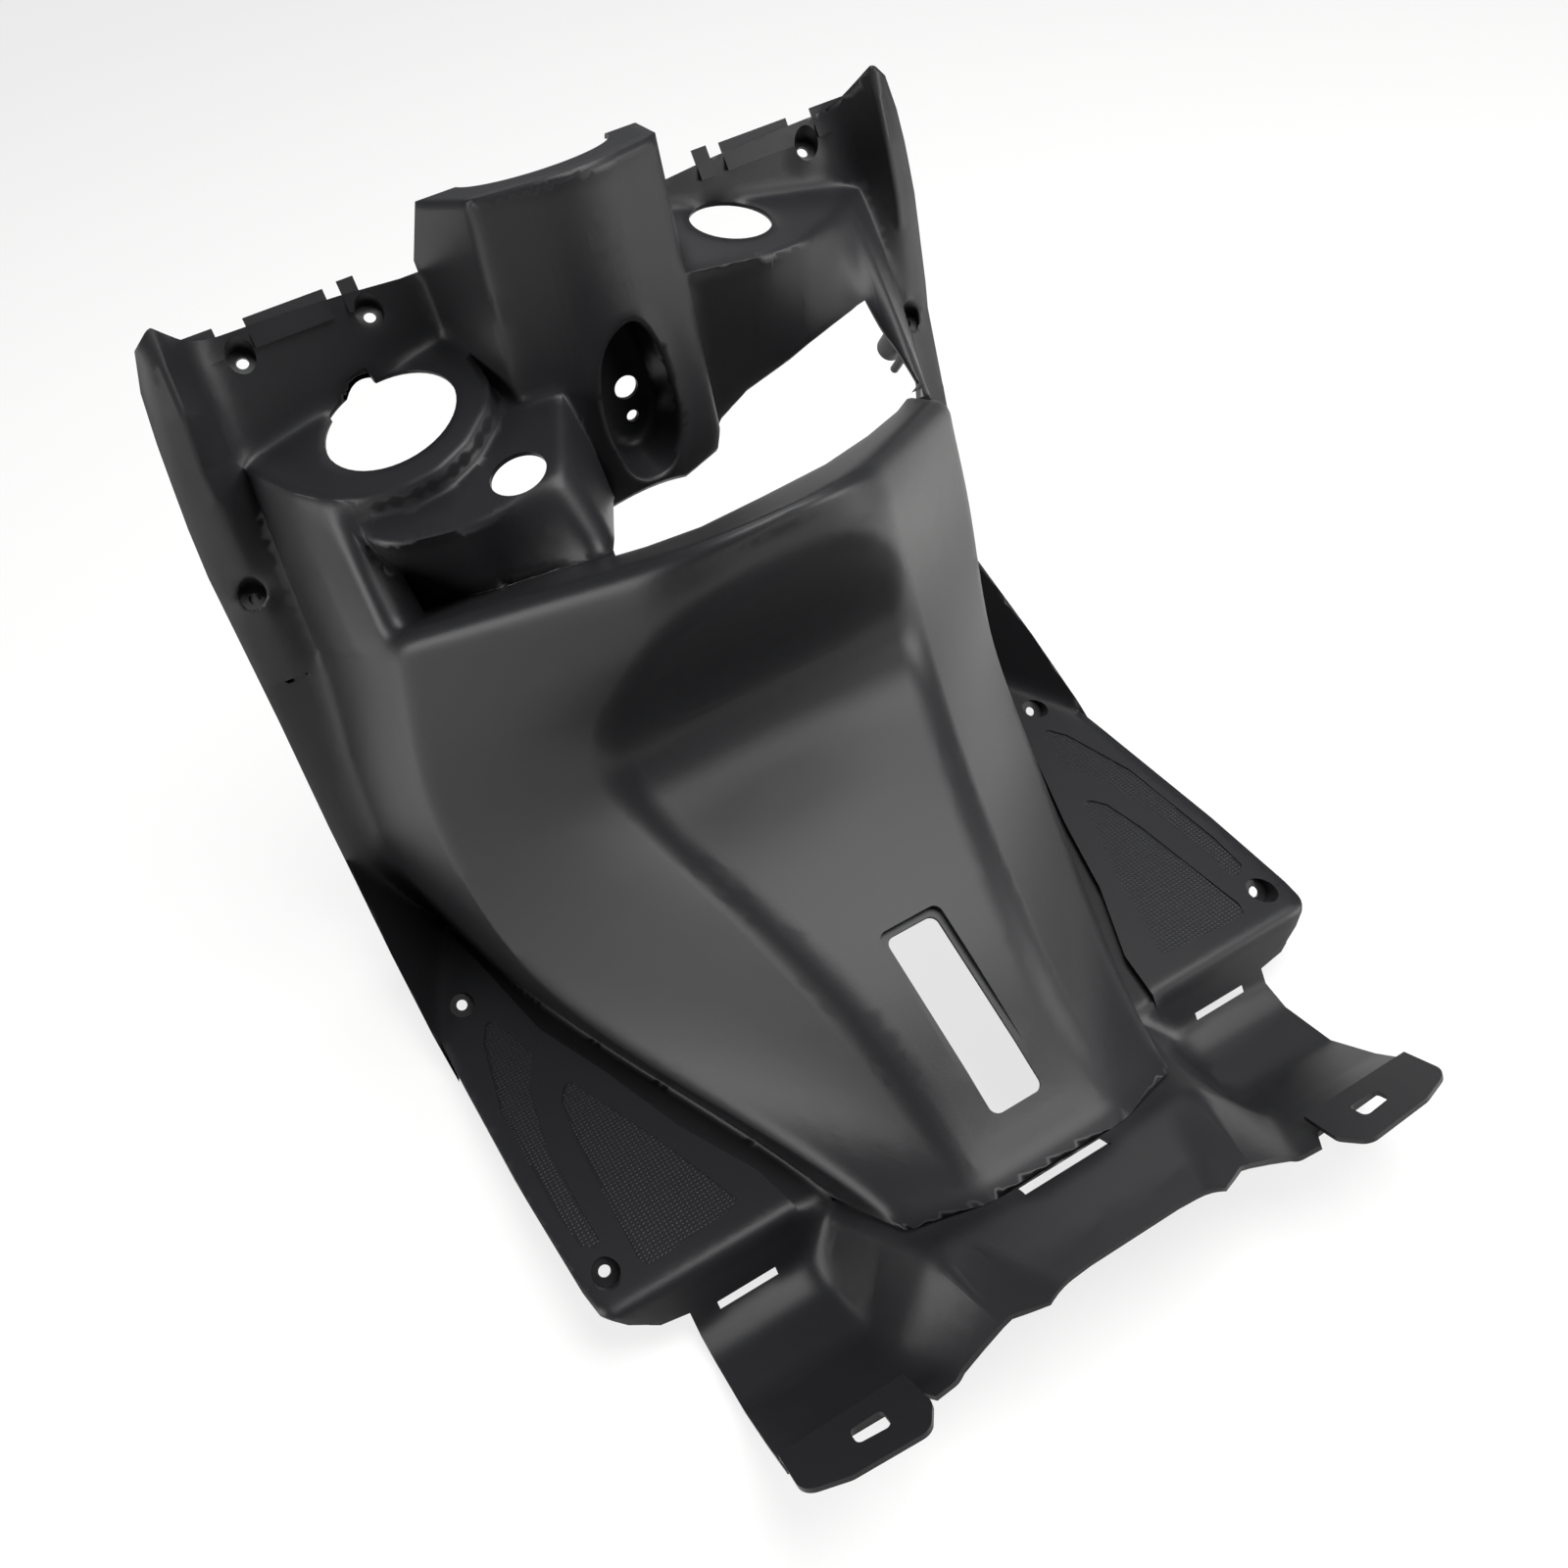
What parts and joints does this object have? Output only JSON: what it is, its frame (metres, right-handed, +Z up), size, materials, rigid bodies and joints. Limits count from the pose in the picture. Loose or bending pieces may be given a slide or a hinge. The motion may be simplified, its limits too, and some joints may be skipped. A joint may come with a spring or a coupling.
{
  "type": "scooter inner panel",
  "caption": "Rider-side inner panel of a scooter front: leg shield, knee bulge with a large opening, steering column cover, foot platforms and a hooked skirt.",
  "frame": {"origin": "Midway between the two lower platform screws, half-way through the cup floors that their heads rest on.", "axes": "+Y away from the rider, along every fixing screw and the mould's opening direction; +Z up the panel toward the handlebar; +X across, to the right in the picture."},
  "size_m": [0.472, 0.371, 0.622],
  "materials": {
    "black_plastic": "matte with a fine grain"
  },
  "bodies": {
    "root": {"inner_panel": "black_plastic"}
  },
  "joints": []
}
